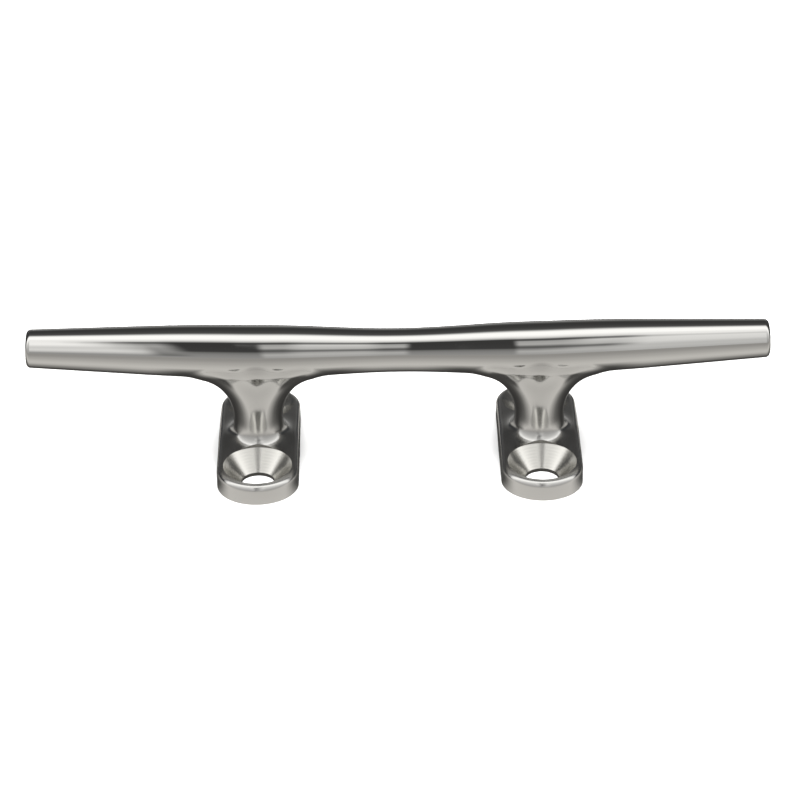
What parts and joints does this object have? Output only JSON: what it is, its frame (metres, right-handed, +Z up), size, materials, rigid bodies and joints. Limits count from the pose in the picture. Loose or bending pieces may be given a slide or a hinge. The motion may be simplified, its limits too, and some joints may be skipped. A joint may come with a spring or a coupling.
{
  "type": "cleat horn",
  "caption": "Open-base stainless deck cleat: a round two-horned bar on two legs, each with a two-bolt countersunk pad.",
  "frame": {"origin": "on the deck plane, midway between the two legs", "axes": "+X along the horns, +Y towards the back bolt holes, +Z up from the deck"},
  "size_m": [0.2002, 0.057, 0.0386],
  "materials": {
    "polished_steel": "polished"
  },
  "bodies": {
    "root": {"horn_bar": "polished_steel", "left_leg": "polished_steel", "right_leg": "polished_steel"}
  },
  "joints": []
}
